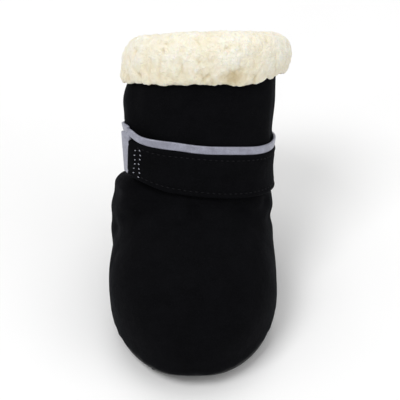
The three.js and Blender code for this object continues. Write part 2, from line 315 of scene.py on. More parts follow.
def piece(name, points, faces, material, node=None, fur=None):
    """A mesh piece that rides on the boot, from points in mm. Its fur is 0 in creases and 1 on tips."""
    mesh = bpy.data.meshes.new(name)
    mesh.from_pydata((np.asarray(points, float) * MM).tolist(), [], [list(map(int, f)) for f in faces])
    if fur is not None:
        # The fur number sets the fleece's painted shade: darker and warmer colour in the creases.
        layer = mesh.attributes.new("fur", "FLOAT", "POINT")
        layer.data.foreach_set("value", np.asarray(fur, np.float32).ravel())
    mesh.polygons.foreach_set("use_smooth", [True] * len(mesh.polygons))
    mesh.materials.append(material)
    made = placed(name, mesh)
    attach(made, "root")
    if node:
        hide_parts(node)
    return made


def ring_faces(rings, around, closed=False, flip=False):
    """Quads between rings of points stored in turn. Closed ones also join the last to the first."""
    ring = np.arange(rings if closed else rings - 1)
    r, c = np.meshgrid(ring, np.arange(around), indexing="ij")
    next_r, next_c = (r + 1) % rings, (c + 1) % around
    corners = (r, c), (r, next_c), (next_r, next_c), (next_r, c)
    quads = np.stack([i * around + k for i, k in corners], -1).reshape(-1, 4)
    return list(quads[:, ::-1] if flip else quads)


def fan(tip, first, around, flip=False):
    """Triangles from a tip to a ring of points that starts at a first one."""
    sides = [(first + i, first + (i + 1) % around) for i in range(around)]
    return [[tip, b, a] if flip else [tip, a, b] for a, b in sides]


def loop_normals(grid):
    """Normals of a grid of points closed both ways, rows crossed with columns."""
    steps = (np.roll(grid, -1, axis) - np.roll(grid, 1, axis) for axis in (0, 1))
    normal = np.cross(*steps)
    return normal / np.maximum(np.linalg.norm(normal, axis=-1, keepdims=True), 1e-9)


def directions(around):
    """Even steps round a full turn."""
    return np.linspace(0, 2 * math.pi, around, endpoint=False)


def level_ring(direction, radius, z):
    """Points at one height, in directions from the foot's upright axis."""
    x, y = radius * np.cos(direction), radius * np.sin(direction)
    return np.stack([x, y, np.full(x.shape, z)], -1)


def turn_faces_out(made):
    """Makes all faces of a closed piece look outwards."""
    shape = bmesh.new()
    shape.from_mesh(made.data)
    bmesh.ops.recalc_face_normals(shape, faces=shape.faces)
    shape.to_mesh(made.data)
    shape.free()


def cut_off_below(made, height):
    """Cuts away what lies below a height over the ground."""
    shape = bmesh.new()
    shape.from_mesh(made.data)
    everything = shape.verts[:] + shape.edges[:] + shape.faces[:]
    place = Vector((0, 0, height * MM))
    bmesh.ops.bisect_plane(shape, geom=everything, plane_co=place, plane_no=(0, 0, -1), clear_outer=True)
    shape.to_mesh(made.data)
    shape.free()


def thicken(made, thickness):
    """Gives a sheet a wall of some mm, inwards from its face."""
    wall = made.modifiers.new("wall", "SOLIDIFY")
    wall.thickness = thickness * MM
    wall.offset = -1


class Many:
    """Many small closed forms gathered into one mesh."""

    def __init__(self):
        self.points = []
        self.faces = []
        self.count = 0

    def add(self, points, faces):
        """Adds one form."""
        self.points.append(np.asarray(points, float))
        self.faces.extend((np.asarray(face) + self.count).tolist() for face in faces)
        self.count += len(points)

    def add_strand(self, path, radius):
        """A thin closed tube along a path, tapering to its ends."""
        steps, sides = len(path), 5
        along = np.gradient(path, axis=0)
        along /= np.linalg.norm(along, axis=1, keepdims=True)
        helper = np.where(np.abs(along[:, 2:]) > 0.9, (1, 0, 0), (0, 0, 1))
        u = np.cross(along, helper)
        u /= np.linalg.norm(u, axis=1, keepdims=True)
        v = np.cross(along, u)
        t = np.linspace(0, 1, steps)
        thick = radius * np.sqrt(np.clip(1.08 - (2 * t - 1) ** 4, 0.1, 1.0))
        turn = np.arange(sides)[:, None] * 2 * math.pi / sides
        circle = u[:, None] * np.cos(turn) + v[:, None] * np.sin(turn)
        ring = path[:, None] + circle * thick[:, None, None]
        ends = [list(reversed(range(sides))), [(steps - 1) * sides + k for k in range(sides)]]
        self.add(ring.reshape(-1, 3), ring_faces(steps, sides) + ends)

    def piece(self, name, material, slot):
        """The mesh piece of all forms added."""
        return piece(name, np.concatenate(self.points), self.faces, material)


# Materials.


class Nodes:
    """A material's node tree, built with short calls."""

    def __init__(self, name):
        self.material = bpy.data.materials.new(name)
        self.material.use_nodes = True
        self.tree = self.material.node_tree
        self.tree.nodes.clear()
        self.shader = self.add("ShaderNodeBsdfPrincipled")
        output = self.add("ShaderNodeOutputMaterial")
        self.link(self.shader.outputs["BSDF"], output.inputs["Surface"])
        self.place = self.add("ShaderNodeTexCoord").outputs["Object"]

    def add(self, kind, **settings):
        """A new node with its settings."""
        node = self.tree.nodes.new(kind)
        for key, value in settings.items():
            setattr(node, key, value)
        return node

    def link(self, source, target):
        """Joins an output to an input."""
        self.tree.links.new(source, target)

    def feed(self, socket, value):
        """Gives an input another output, a number or a colour."""
        if isinstance(value, bpy.types.NodeSocket):
            self.link(value, socket)
        else:
            socket.default_value = (*value, 1.0) if socket.type == "RGBA" else value

    def texture(self, kind, pitch, **settings):
        """A texture node with features about a pitch apart, in mm."""
        node = self.add(kind, **settings)
        node.inputs["Scale"].default_value = 1 / (pitch * MM)
        self.link(self.place, node.inputs["Vector"])
        return node

    def noise(self, pitch, detail=2.0, roughness=0.5):
        """Noise with features about a pitch apart."""
        node = self.texture("ShaderNodeTexNoise", pitch)
        node.inputs["Detail"].default_value = detail
        node.inputs["Roughness"].default_value = roughness
        return node.outputs["Fac"]

    def cells(self, pitch):
        """Distances from the middles of cells about a pitch across."""
        return self.texture("ShaderNodeTexVoronoi", pitch, feature="F1").outputs["Distance"]

    def curls(self, pitch, wander):
        """Rounded cells about a pitch across, swirled by noise."""
        swirl = self.texture("ShaderNodeTexNoise", pitch * 1.3)
        shifted = self.add("ShaderNodeVectorMath", operation="MULTIPLY_ADD")
        self.link(swirl.outputs["Color"], shifted.inputs[0])
        shifted.inputs[1].default_value = (wander * MM,) * 3
        self.link(self.place, shifted.inputs[2])
        node = self.texture("ShaderNodeTexVoronoi", pitch, feature="SMOOTH_F1")
        node.inputs["Smoothness"].default_value = 0.3
        self.link(shifted.outputs["Vector"], node.inputs["Vector"])
        return node.outputs["Distance"]

    def attribute(self, name):
        """A number that each point of the mesh carries."""
        return self.add("ShaderNodeAttribute", attribute_name=name).outputs["Fac"]

    def ramp(self, source, stops):
        """A colour ramp from (place, colour) stops."""
        node = self.add("ShaderNodeValToRGB")
        ramp = node.color_ramp
        while len(ramp.elements) < len(stops):
            ramp.elements.new(0.5)
        for element, (place, colour) in zip(ramp.elements, stops):
            element.position = place
            element.color = (*colour, 1.0)
        self.link(source, node.inputs["Fac"])
        return node.outputs["Color"]

    def mix(self, share, first, second):
        """Two colours mixed."""
        node = self.add("ShaderNodeMix", data_type="RGBA")
        for index, value in ((0, share), (6, first), (7, second)):
            self.feed(node.inputs[index], value)
        return node.outputs[2]

    def scaled(self, source, factor):
        """A number times a factor."""
        node = self.add("ShaderNodeMath", operation="MULTIPLY")
        self.feed(node.inputs[0], source)
        self.feed(node.inputs[1], factor)
        return node.outputs[0]

    def bump(self, height, depth, under=None):
        """Raises the surface by a height map, depth in mm, over another bump."""
        node = self.add("ShaderNodeBump")
        node.inputs["Strength"].default_value = 1.0
        node.inputs["Distance"].default_value = depth * MM
        self.link(height, node.inputs["Height"])
        if under is not None:
            self.link(under, node.inputs["Normal"])
        return node.outputs["Normal"]

    def finish(self, colour, roughness, normal=None, **sockets):
        """The finished material, its shader's other sockets named with _ for a space."""
        self.feed(self.shader.inputs["Base Color"], colour)
        self.feed(self.shader.inputs["Roughness"], roughness)
        if normal is not None:
            self.link(normal, self.shader.inputs["Normal"])
        for name, value in sockets.items():
            self.feed(self.shader.inputs[name.replace("_", " ")], value)
        return self.material


def pile_material():
    """Short matt black pile, a little blue where it catches the light, brushed in soft patches."""
    n = Nodes("black_pile")
    shades = [(0.3, (0.0012, 0.0012, 0.0014)), (0.7, (0.0030, 0.0031, 0.0038))]
    colour = n.ramp(n.noise(7.0, detail=3.0, roughness=0.6), shades)
    colour = n.mix(n.cells(0.32), colour, (0.0045, 0.0046, 0.0056))
    normal = n.bump(n.noise(1.6), 0.10)
    normal = n.bump(n.noise(0.28, roughness=0.7), 0.10, normal)
    roughness = n.ramp(n.noise(2.0), [(0.3, (0.86,) * 3), (0.7, (1.0,) * 3)])
    return n.finish(
        colour, roughness, normal,
        Specular_IOR_Level=0.03, Sheen_Weight=0.02, Sheen_Roughness=0.35, Sheen_Tint=(0.75, 0.82, 1.0),
    )


def fleece_material(name, tint=(1.0, 1.0, 1.0)):
    """Cream wool-like fleece, with painted shade: its colour turns darker and warmer down between its curls.
    """
    n = Nodes(name)
    shades = (0.64, 0.52, 0.31), (0.88, 0.81, 0.63), (0.97, 0.94, 0.84)
    painted_crease_shade, mid, tip = (tuple(a * b for a, b in zip(shade, tint)) for shade in shades)
    # Painted shade: the fur number (relief height) runs from a dark warm crease colour up to the cream tips.
    colour = n.ramp(n.attribute("fur"), [(0.12, painted_crease_shade), (0.45, mid), (0.8, tip)])
    colour = n.mix(n.scaled(n.noise(6.0, detail=3.0), 0.35), colour, mid)
    normal = n.bump(n.curls(0.9, 2.4), -0.28)
    normal = n.bump(n.noise(0.3, detail=3.0, roughness=0.7), 0.10, normal)
    return n.finish(
        colour, 0.95, normal,
        Specular_IOR_Level=0.1, Sheen_Weight=0.2, Sheen_Roughness=0.5, Sheen_Tint=(1.0, 0.98, 0.92),
        Subsurface_Weight=0.35, Subsurface_Radius=(1.0, 0.8, 0.5), Subsurface_Scale=1.2 * MM,
    )


def sole_material():
    """Matt black rubber with a fine pebbled skin."""
    n = Nodes("sole_rubber")
    colour = n.ramp(n.noise(3.0, detail=3.0), [(0.3, (0.008, 0.008, 0.0085)), (0.7, (0.014, 0.014, 0.0145))])
    normal = n.bump(n.cells(0.5), 0.05)
    normal = n.bump(n.noise(0.9), 0.05, normal)
    roughness = n.ramp(n.noise(1.4), [(0.3, (0.5,) * 3), (0.7, (0.66,) * 3)])
    return n.finish(colour, roughness, normal, Specular_IOR_Level=0.4)


def piping_material():
    """Lilac-grey reflective weave."""
    n = Nodes("reflective_weave")
    weave = n.cells(0.38)
    colour = n.ramp(n.noise(2.4, detail=3.0), [(0.3, (0.27, 0.275, 0.34)), (0.7, (0.40, 0.41, 0.50))])
    colour = n.mix(n.scaled(weave, 0.5), colour, (0.17, 0.17, 0.21))
    return n.finish(colour, 0.42, n.bump(weave, 0.06), Metallic=0.15, Specular_IOR_Level=0.6)


def thread_material(name, colour):
    """Spun sewing thread."""
    n = Nodes(name)
    shade = tuple(0.6 * c for c in colour)
    mixed = n.ramp(n.noise(0.5), [(0.35, shade), (0.65, colour)])
    return n.finish(mixed, 0.8, n.bump(n.noise(0.12), 0.03), Specular_IOR_Level=0.15)


PILE = pile_material()
FLEECE = fleece_material("cream_fleece")
# The inner fleece is the same fleece tinted darker and warmer: painted shade for inside the boot.
INNER_FLEECE = fleece_material("inner_fleece", (0.93, 0.88, 0.8))
RUBBER = sole_material()
REFLECTIVE = piping_material()
DARK_THREAD = thread_material("dark_thread", (0.010, 0.010, 0.012))
PALE_THREAD = thread_material("pale_thread", (0.45, 0.46, 0.52))


# The upper.

# Folds of the slack fabric, each a ridge or a trough: its start and end on the face as a station and
# an angle in degrees, then its width and its height in mm, which is below 0 for a trough.
FOLDS = [
    # The pleat in the vamp's middle under the strap, and the soft ridges beside it.
    ((5.3, 92), (1.2, 84), 1.2, -1.0),
    ((5.2, 84), (1.4, 74), 2.2, 0.8),
    ((5.2, 101), (0.8, 99), 2.4, 0.7),
    # The fullness under the puff on the -X side.
    ((5.2, 174), (4.6, 140), 4.5, 0.9),
    ((4.9, 177), (2.4, 172), 6.5, 1.3),
    # Gathers under the strap at either side.
    ((5.4, 62), (3.2, 50), 2.0, -0.8),
    ((5.5, 122), (3.0, 134), 2.2, -0.9),
    ((5.2, 146), (2.8, 156), 3.0, 0.9),
    ((5.3, 30), (3.6, 16), 2.4, -0.7),
    # Slack across the ankle behind the vamp.
    ((4.6, 200), (4.9, 232), 2.2, -0.9),
    ((4.6, 4), (4.9, -34), 2.2, -0.8),
    # Soft bends of the sides, from the ankle down towards the foot.
    ((4.9, 26), (3.2, -6), 2.6, 0.7),
    ((4.5, 18), (3.2, -24), 2.2, -0.9),
    ((3.9, 52), (2.0, 34), 3.0, -0.5),
    ((4.3, 148), (2.4, 164), 3.0, -0.5),
    ((4.3, 206), (3.0, 190), 2.4, -0.8),
    # Heel.
    ((5.3, 250), (5.1, 292), 2.0, -0.6),
    ((4.3, 240), (3.6, 276), 2.2, -0.7),
    ((3.9, 300), (3.3, 322), 2.4, 0.6),
    # Shaft between strap and collar.
    ((8.2, 96), (10.2, 90), 2.4, -0.5),
    ((8.1, 60), (10.0, 52), 3.2, 0.5),
    ((8.1, 140), (10.2, 150), 3.0, -0.6),
    ((8.0, 200), (10.2, 208), 3.4, 0.6),
    ((8.0, 12), (10.1, 20), 2.6, -0.5),
    ((8.0, 300), (10.0, 296), 3.4, -0.6),
    # Dimples of the toe.
    ((-0.55, 60), (0.3, 40), 4.0, -0.35),
    ((1.2, 168), (-0.2, 158), 7.0, 0.5),
]
FOLD_STEPS = 14
FOLD_FADES_FROM = 0.45  # the share of a fold's length where it starts to fade

# The slack puffed out under the strap on the -X side: its middle and reach in degrees round the leg,
# then how far under the strap's edge it is fullest, its width and its height in mm.
PUFF = {"angle": 176, "reach": 62, "under": 5.0, "width": 3.9, "height": 4.0}

# The fabric's unevenness as heights, pitches and seeds, and the gathers at the sole's seam as
# heights, numbers round the foot and phases.
SLACK = (0.22, 11.0, 5), (0.10, 4.5, 6)
GATHERS = (0.16, 46, 0.0), (0.10, 31, 1.3)
GATHERS_REACH = 2.2
SEAM_TUCK = {"depth": 0.9, "reach": 0.7}
BACK_SEAM = {"from": 4.6, "ridge": 0.3, "ridge_width": 2.2, "groove": 0.65, "groove_width": 0.55}
BACK_RADIUS = 18.0

# Beside the strap, in mm from its edge: the fabric lies flat up to one place and is free from
# another, and it swells a little there. The stations say where on the leg.
PINCH = {
    "flat_to": 0.3, "free_from": 2.4, "flat_stations": (4.5, 5.6, 9.2, 10.0),
    "swell_at": 2.6, "swell_width": 1.8, "swell": 0.35, "swell_stations": (4.2, 5.4, 8.8, 9.8),
}
UNDER_COLLAR = (9.6, 10.2)  # the stations over which the fabric stops being lifted


def fold_relief(points):
    """How far the folds lift or sink the fabric at points of its face, in mm."""
    relief = np.zeros(points.shape[:-1])
    t = np.linspace(0, 1, FOLD_STEPS)
    for (s0, a0), (s1, a1), width, height in FOLDS:
        path = face_point(s0 + (s1 - s0) * t, np.radians(a0 + (a1 - a0) * t))
        nearest = np.full(relief.shape, np.inf)
        share = np.zeros(relief.shape)
        for start, end, first in zip(path[:-1], path[1:], t[:-1]):
            line = end - start
            along = np.clip(((points - start) @ line) / (line @ line), 0, 1)
            gap = np.linalg.norm(points - start - along[..., None] * line, axis=-1)
            share = np.where(gap < nearest, first + along / (FOLD_STEPS - 1), share)
            nearest = np.minimum(nearest, gap)
        fade = 1 - smoothstep(FOLD_FADES_FROM, 1.0, share)
        relief += height * fade * bell(nearest, width)
    return relief


def puff_share(angle, points):
    """The puff's fullness from 0 to 1, which starts at the strap's lower edge."""
    under = strap_rise(angle) - (points - STRAP_MIDDLE) @ STRAP_UP - STRAP_WIDTH / 2
    aside = np.abs((np.degrees(angle) - PUFF["angle"] + 180) % 360 - 180)
    swell = bell(under - PUFF["under"], PUFF["width"]) * smoothstep(0, 1.1, under)
    return swell * (1 - smoothstep(0.3, 1.0, aside / PUFF["reach"]))


def upper_relief(station, angle, points):
    """Folds, the gathered sole seam, the back seam and the strap's pinch."""
    relief = fold_relief(points)
    relief += sum(height * soft_noise(points, pitch, seed) for height, pitch, seed in SLACK)
    over_seam = np.clip(points[..., 2] - SEAM_HEIGHT, 0, None)
    round_foot = np.arctan2(points[..., 1], points[..., 0])
    gathers = sum(height * np.sin(round_foot * number + phase) for height, number, phase in GATHERS)
    relief += np.exp(-over_seam / GATHERS_REACH) * gathers
    relief -= SEAM_TUCK["depth"] * np.exp(-over_seam / SEAM_TUCK["reach"])
    off_back = np.abs((angle + math.pi / 2 + math.pi) % (2 * math.pi) - math.pi) * BACK_RADIUS
    ridge = BACK_SEAM["ridge"] * bell(off_back, BACK_SEAM["ridge_width"])
    groove = BACK_SEAM["groove"] * bell(off_back, BACK_SEAM["groove_width"])
    relief += smoothstep(BACK_SEAM["from"], BACK_SEAM["from"] + 0.5, station) * (ridge - groove)
    off_strap = np.abs((points - STRAP_MIDDLE) @ STRAP_UP - strap_rise(angle))
    half = STRAP_WIDTH / 2
    clear = smoothstep(half + PINCH["flat_to"], half + PINCH["free_from"], off_strap)
    relief = relief * (1 - window(*PINCH["flat_stations"], station) * (1 - clear))
    swell = bell(off_strap - half - PINCH["swell_at"], PINCH["swell_width"])
    relief += PINCH["swell"] * swell * window(*PINCH["swell_stations"], station)
    relief += PUFF["height"] * puff_share(angle, points)
    under_collar = smoothstep(*UNDER_COLLAR, station)
    return relief * (1 - under_collar) + np.minimum(relief, 0.0) * under_collar


def sock_grid(toe_tip, top, toe, body, around):
    """Stations and angles of rings from the toe's tip to a station up the shaft."""
    stations = np.concatenate([-np.linspace(toe_tip, 0, toe, endpoint=False), np.linspace(0, top, body)])
    return np.meshgrid(stations, directions(around), indexing="ij")


def sock(points, outwards):
    """Points and faces of a sock, from its rings of points and a tip that closes its toe."""
    rings, around = points.shape[:2]
    faces = ring_faces(rings, around, flip=outwards) + fan(rings * around, 0, around, flip=not outwards)
    return np.concatenate([points.reshape(-1, 3), [points[0].mean(0)]]), faces


def make_upper():
    """The pile fabric from the toe to the shaft's cut edge, open underneath."""
    station, angle = sock_grid(0.985, COLLAR, toe=34, body=190, around=216)
    points = face_point(station, angle)
    points = points + face_normal(station, angle) * upper_relief(station, angle, points)[..., None]
    points, faces = sock(points, outwards=True)
    made = piece("upper_fabric", points, faces, PILE, "upper")
    cut_off_below(made, SEAM_HEIGHT + GAP)
    thicken(made, UPPER_WALL)


make_upper()


# The fleece collar.


def roll_outline(steps):
    """The collar's closed outline, smooth through its rows: down, out and fur for each step."""
    rows = np.array(FLEECE_ROLL)
    gaps = np.linalg.norm(np.roll(rows, -1, 0)[:, :2] - rows[:, :2], axis=1)
    places = np.concatenate([[0], np.cumsum(gaps)])
    at = np.linspace(0, places[-1], steps, endpoint=False)
    row = np.clip(np.searchsorted(places, at, side="right") - 1, 0, len(rows) - 1)
    t = ((at - places[row]) / gaps[row])[:, None]
    a, b, c, d = (rows[(row + k) % len(rows)] for k in (-1, 0, 1, 2))
    plain = (b[:, 2:] == 0) | (c[:, 2:] == 0)
    return np.where(plain, b + t * (c - b), curve_between(a, b, c, d, t))


CLUMP_PITCH = 3.6
CLUMP_HEIGHT = 2.2
CURL_PITCH = 1.8
CURL_STRETCH = 0.5  # how far the curls are drawn out up the leg
FUZZ_PITCH = 0.8
SWELL_PITCH = 5.5
WANDER_PITCH = 3.2
FUR_MIDDLE = 0.62  # the relief that lies on the collar's outline
FUR_SHARES = {"clumps": 0.30, "curls": 0.30, "fuzz": 0.10, "swell": 0.30}

# Where the roll counts as outside the shaft, in mm out. At its hem, over some mm down, the fleece
# is painted darker and warmer as shade under the roll, and its edge waves.
ROLL_OUTSIDE = (-2.0, 0.2)
HEM_PAINTED_SHADE = {"share": 0.16, "over": (3.0, 9.5)}
SCALLOP = {"radius": 20.0, "pitch": 2.6, "depth": 0.55, "over": (6.5, 10.5)}


def fur_height(points):
    """The fleece's relief from 0, down between the clumps, to about 1 on their tops."""
    wander = np.stack([soft_noise(points, WANDER_PITCH, k) for k in (11, 12, 13)], -1)
    drawn = points - CURL_STRETCH * (points @ STRAP_UP)[..., None] * STRAP_UP
    shapes = {
        "clumps": tufts(points + wander, CLUMP_PITCH, 1),
        "curls": tufts(drawn + 0.9 * wander, CURL_PITCH, 2),
        "fuzz": soft_noise(points, FUZZ_PITCH, 15),
        "swell": 0.5 + 0.5 * soft_noise(points, SWELL_PITCH, 14),
    }
    return sum(share * shapes[name] for name, share in FUR_SHARES.items())


def collar_grid(around, steps):
    """Points round the collar's roll, and the share of the fur's height at each."""
    outline = roll_outline(steps)
    angle, down = np.meshgrid(directions(around), outline[:, 0], indexing="ij")
    out = np.broadcast_to(outline[:, 1], angle.shape)
    off_side = np.degrees(np.arccos(np.cos(angle)))
    full = 1 - smoothstep(SHORT_SIDE["within"], SHORT_SIDE["beyond"], off_side)
    outside = smoothstep(*ROLL_OUTSIDE, out) * (down > 0)
    down = down * (1 - SHORT_SIDE["share"] * full * outside)
    at_hem = smoothstep(*SCALLOP["over"], outline[None, :, 0]) * (out > 0)
    leg = level_ring(angle, SCALLOP["radius"], 0)
    down = down + SCALLOP["depth"] * at_hem * soft_noise(leg, SCALLOP["pitch"], 21)
    fur = np.broadcast_to(outline[:, 2], angle.shape)
    return near_face(station_down(angle, down), angle, out), fur


def make_collar():
    """The fleece that comes up inside the shaft and rolls over its edge."""
    around, steps = 540, 170
    grid, fur = collar_grid(around, steps)
    height = fur_height(grid)
    points = grid - loop_normals(grid) * (fur * CLUMP_HEIGHT * (height - FUR_MIDDLE))[..., None]
    low = roll_outline(steps)[None, :, 0]
    # Painted shade: the colour number is the relief height, lowered further down the collar, so the creases
    # and the roll's lower part are painted darker.
    tone = np.clip(height - HEM_PAINTED_SHADE["share"] * smoothstep(*HEM_PAINTED_SHADE["over"], low), 0, 1)
    faces = ring_faces(around, steps, closed=True)
    made = piece("collar_fleece", points.reshape(-1, 3), faces, FLEECE, "fleece_collar", tone)
    turn_faces_out(made)


make_collar()


# The strap and its piping.


# How far the free end stands off the ankle at its top and bottom edges, and the degrees over which
# the strap comes off it and turns stiff.
END_OFF_AT_TOP = 0.5
END_OFF_AT_FOOT = 1.9
STRAP_COMES_OFF = (STRAP_OVER_RAISED - 20, STRAP_FREE)
STRAP_TURNS_STIFF = (STRAP_RISES + 10, STRAP_FREE - 6)


def strap_out(degrees):
    """How far the strap's inner face lies out from the upper, rising over the sewn end."""
    lifted = smoothstep(STRAP_RISES, STRAP_OVER_RAISED, degrees)
    return GAP + lifted * (STRAP_THICKNESS + GAP)


def strap_angle(degrees, height):
    """The angle round the leg of a place on the strap, where the free end leans."""
    near_end = smoothstep(STRAP_RISES, STRAP_FREE, degrees)
    return np.radians(degrees - STRAP_END_LEAN * near_end * height / (STRAP_WIDTH / 2))


def wrapped_place(degrees, height, out):
    """A place on a strap that follows the leg closely at every height."""
    angle = strap_angle(degrees, height)
    off_ankle = smoothstep(*STRAP_COMES_OFF, degrees)
    low_share = smoothstep(STRAP_WIDTH / 2, -STRAP_WIDTH / 2, height)
    off_ankle = off_ankle * (END_OFF_AT_TOP + (END_OFF_AT_FOOT - END_OFF_AT_TOP) * low_share)
    station = station_on_strap(angle, height + strap_rise(angle))
    return near_face(station, angle, strap_out(degrees) + off_ankle + out)


def strap_place(degrees, height, out):
    """A place on the strap, whose stiff free end stays straight from edge to edge."""
    half = STRAP_WIDTH / 2
    degrees, height, out = np.broadcast_arrays(np.asarray(degrees, float), height, out)
    low, high = (wrapped_place(degrees, np.full(degrees.shape, side), out) for side in (-half, half))
    straight = low + (high - low) * ((height + half) / STRAP_WIDTH)[..., None]
    stiff = smoothstep(*STRAP_TURNS_STIFF, degrees)[..., None]
    return wrapped_place(degrees, height, out) * (1 - stiff) + straight * stiff


def strap_normal(degrees, height):
    """The outward normals of places on the strap."""
    angle = strap_angle(degrees, height)
    return face_normal(station_on_strap(angle, height + strap_rise(angle)), angle)


def band(name, degrees, outline, material, node=None, relief=None, bow=None):
    """A closed strip round the leg: an outline of (height, out) swept over angles."""
    outline = np.array(outline)
    steps, count = len(degrees), len(outline)
    degrees, index = np.meshgrid(degrees, np.arange(count), indexing="ij")
    height, out = outline[index, 0], outline[index, 1]
    if bow is not None:
        height = height + bow(degrees)
    if relief is not None:
        out = out + relief(degrees, height, out)
    grid = strap_place(degrees, height, out)
    ends = [list(range(count)), [(steps - 1) * count + k for k in reversed(range(count))]]
    made = piece(name, grid.reshape(-1, 3), ring_faces(steps, count) + ends, material, node)
    turn_faces_out(made)
    return made


def rounded_outline(low, high, inner, outer, across, corner):
    """A flat strip's outline with rounded edges, from its high outer corner round."""
    bend = np.linspace(0, math.pi / 2, 4)
    high, low, outer, inner = high - corner, low + corner, outer - corner, inner + corner
    points = []
    for turn, (height, out) in enumerate(((high, outer), (low, outer), (low, inner), (high, inner))):
        for a in bend + turn * math.pi / 2:
            points.append((height + corner * math.cos(a), out + corner * math.sin(a)))
        if turn == 0:
            points += [(h, outer + corner) for h in np.linspace(high, low, across + 2)[1:-1]]
        if turn == 2:
            points += [(h, inner - corner) for h in np.linspace(low, high, across + 2)[1:-1]]
    return points


STITCH_INSET = 1.5
STITCH_PITCH = 1.7
STITCH_LENGTH = 0.55 * STITCH_PITCH
ZIGZAG_FROM = STRAP_FREE - 7.5
ZIGZAG_TO = STRAP_FREE - 11.5
STITCHED = (STRAP_SEWN + 12, STRAP_FREE - 3)
STITCH_RADIUS = 0.13
STITCH_ARCH = 0.16
STITCH_SINKS = 0.06
SEAM_GROOVE = {"depth": 0.22, "width": 0.45}
STRAP_SLACK = (0.10, 5, 0.7), (0.08, 11, 0.0)  # heights, waves round the leg and phases
ZIGZAG_RADIUS = 0.14
ZIGZAG_ROWS = 13
ZIGZAG_SHOWS = 0.6  # mm of thread that shows at each turn of the zigzag


def strap_relief(degrees, height, out):
    """The strap's seams sink a little at its stitch lines, and its face is a little slack."""
    outside = out > STRAP_THICKNESS / 2
    half = STRAP_WIDTH / 2
    lines = sum(bell(height - side * (half - STITCH_INSET), SEAM_GROOVE["width"]) for side in (-1, 1))
    slack = sum(rise * np.sin(np.radians(degrees) * waves + phase) for rise, waves, phase in STRAP_SLACK)
    slack = slack * (1 - (height / half) ** 2)
    return np.where(outside, -SEAM_GROOVE["depth"] * lines + slack, 0.0)


def make_strap():
    """The strap from its sewn end, round the back and the front, to its free end."""
    outline = rounded_outline(-STRAP_WIDTH / 2, STRAP_WIDTH / 2, 0.0, STRAP_THICKNESS, 22, 0.55)
    degrees = np.linspace(STRAP_SEWN, STRAP_FREE, 420)
    made = band("strap_fabric", degrees, outline, PILE, "strap", strap_relief)


def stitch_line(many, places, radius):
    """Short stitches, each from a start to an end with a normal, sunk at both ends."""
    t = np.linspace(0, 1, 5)[:, None]
    arch = np.sin(t * math.pi) * STITCH_ARCH - STITCH_SINKS
    for start, end, normal in places:
        many.add_strand(start + (end - start) * t + normal * arch, radius)


def edge_stitches(height):
    """Stitches along the strap at a height: the start, end and normal of each."""
    degrees = np.linspace(*STITCHED, 700)
    line = strap_place(degrees, height, STRAP_THICKNESS - 0.2)
    normal = strap_normal(degrees, height)
    length = np.concatenate([[0], np.cumsum(np.linalg.norm(np.diff(line, axis=0), axis=1))])

    def value(values, at):
        return np.array([np.interp(at, length, values[:, k]) for k in range(3)])

    starts = np.arange(0.4, length[-1] - STITCH_PITCH, STITCH_PITCH)
    return [
        (value(line, at), value(line, at + STITCH_LENGTH), value(normal, at + STITCH_PITCH / 3))
        for at in starts
    ]


def make_strap_stitches():
    """Dark stitches along both edges of the strap, and a pale zigzag across its free end."""
    dark, pale = Many(), Many()
    half = STRAP_WIDTH / 2 - STITCH_INSET
    for height in (-half, half):
        stitch_line(dark, edge_stitches(height), STITCH_RADIUS)
    row = np.arange(ZIGZAG_ROWS + 1)
    sides = np.where(row % 2, ZIGZAG_FROM, ZIGZAG_TO) + 0.5 * np.sin(row * 2.3)
    turns = np.linspace(-half - 0.2, half + 0.4, len(row)) + 0.12 * np.sin(row * 4.1)
    corners = strap_place(sides, turns, STRAP_THICKNESS + 0.05)
    step = corners[1:] - corners[:-1]
    step = step / np.linalg.norm(step, axis=-1)[:, None] * ZIGZAG_SHOWS / 2
    outward = strap_normal(sides, turns)
    stitch_line(pale, zip(corners[:-1] - step, corners[:-1] + step, outward), ZIGZAG_RADIUS)
    dark.piece("strap_stitches", DARK_THREAD, "pile_fabric")
    pale.piece("strap_zigzag", PALE_THREAD, "reflective_tape")


def make_piping():
    """The reflective band on the strap's top edge, and the strip round its free end."""
    half = STRAP_WIDTH / 2
    inner = (STRAP_THICKNESS - PIPING_THICKNESS) / 2
    outer = inner + PIPING_THICKNESS
    low = half + GAP
    top_to = STRAP_FREE + 2

    def wave(degrees):
        """A slow wave, a flare on the +X side and a point at the free end."""
        flare = 0.5 * smoothstep(20, -6, degrees) * smoothstep(-40, -6, degrees)
        point = 1.3 * smoothstep(STRAP_FREE - 14, top_to, degrees) ** 2
        return 0.12 * np.sin(np.radians(degrees) * 7) + flare + point

    top = rounded_outline(low - 0.2, low + PIPING_HEIGHT, inner, outer, 6, 0.3)
    degrees = np.linspace(PIPING_FROM, top_to, 320)
    band("piping_top", degrees, top, REFLECTIVE, "strap_piping", bow=wave)
    end = rounded_outline(-half, low + PIPING_HEIGHT - 0.4, inner - 0.1, outer - 0.1, 16, 0.3)
    degrees = np.linspace(STRAP_FREE + 0.4, STRAP_FREE + 1 + PIPING_END_WIDTH, 9)
    band("piping_end", degrees, end, REFLECTIVE)


make_strap()
make_strap_stitches()
make_piping()


# The sole.

DOT_PITCH = 3.5
DOT_ROWS_APART = 0.92 * DOT_PITCH
DOT_RADIUS = 0.75
DOT_HEIGHT = 0.45
DOTS_UP_TO = 2.4  # mm over the ground, round the turned-up edge
DOTS_BACK_TO = 27.5  # mm behind the origin, where the heel's end starts
DOTS_REACH = 12  # rows and columns to either side of the middle
DOTS_OFF_MIDDLE = (0.4, -1.0)
TRAY_LEVELS = (0.2, 0.4, 0.6, 0.8, 0.93)  # shares of the sole's width, where its underside has rings
TRAY_TUCK = 0.5  # mm by which the sole's edge bends in under the upper


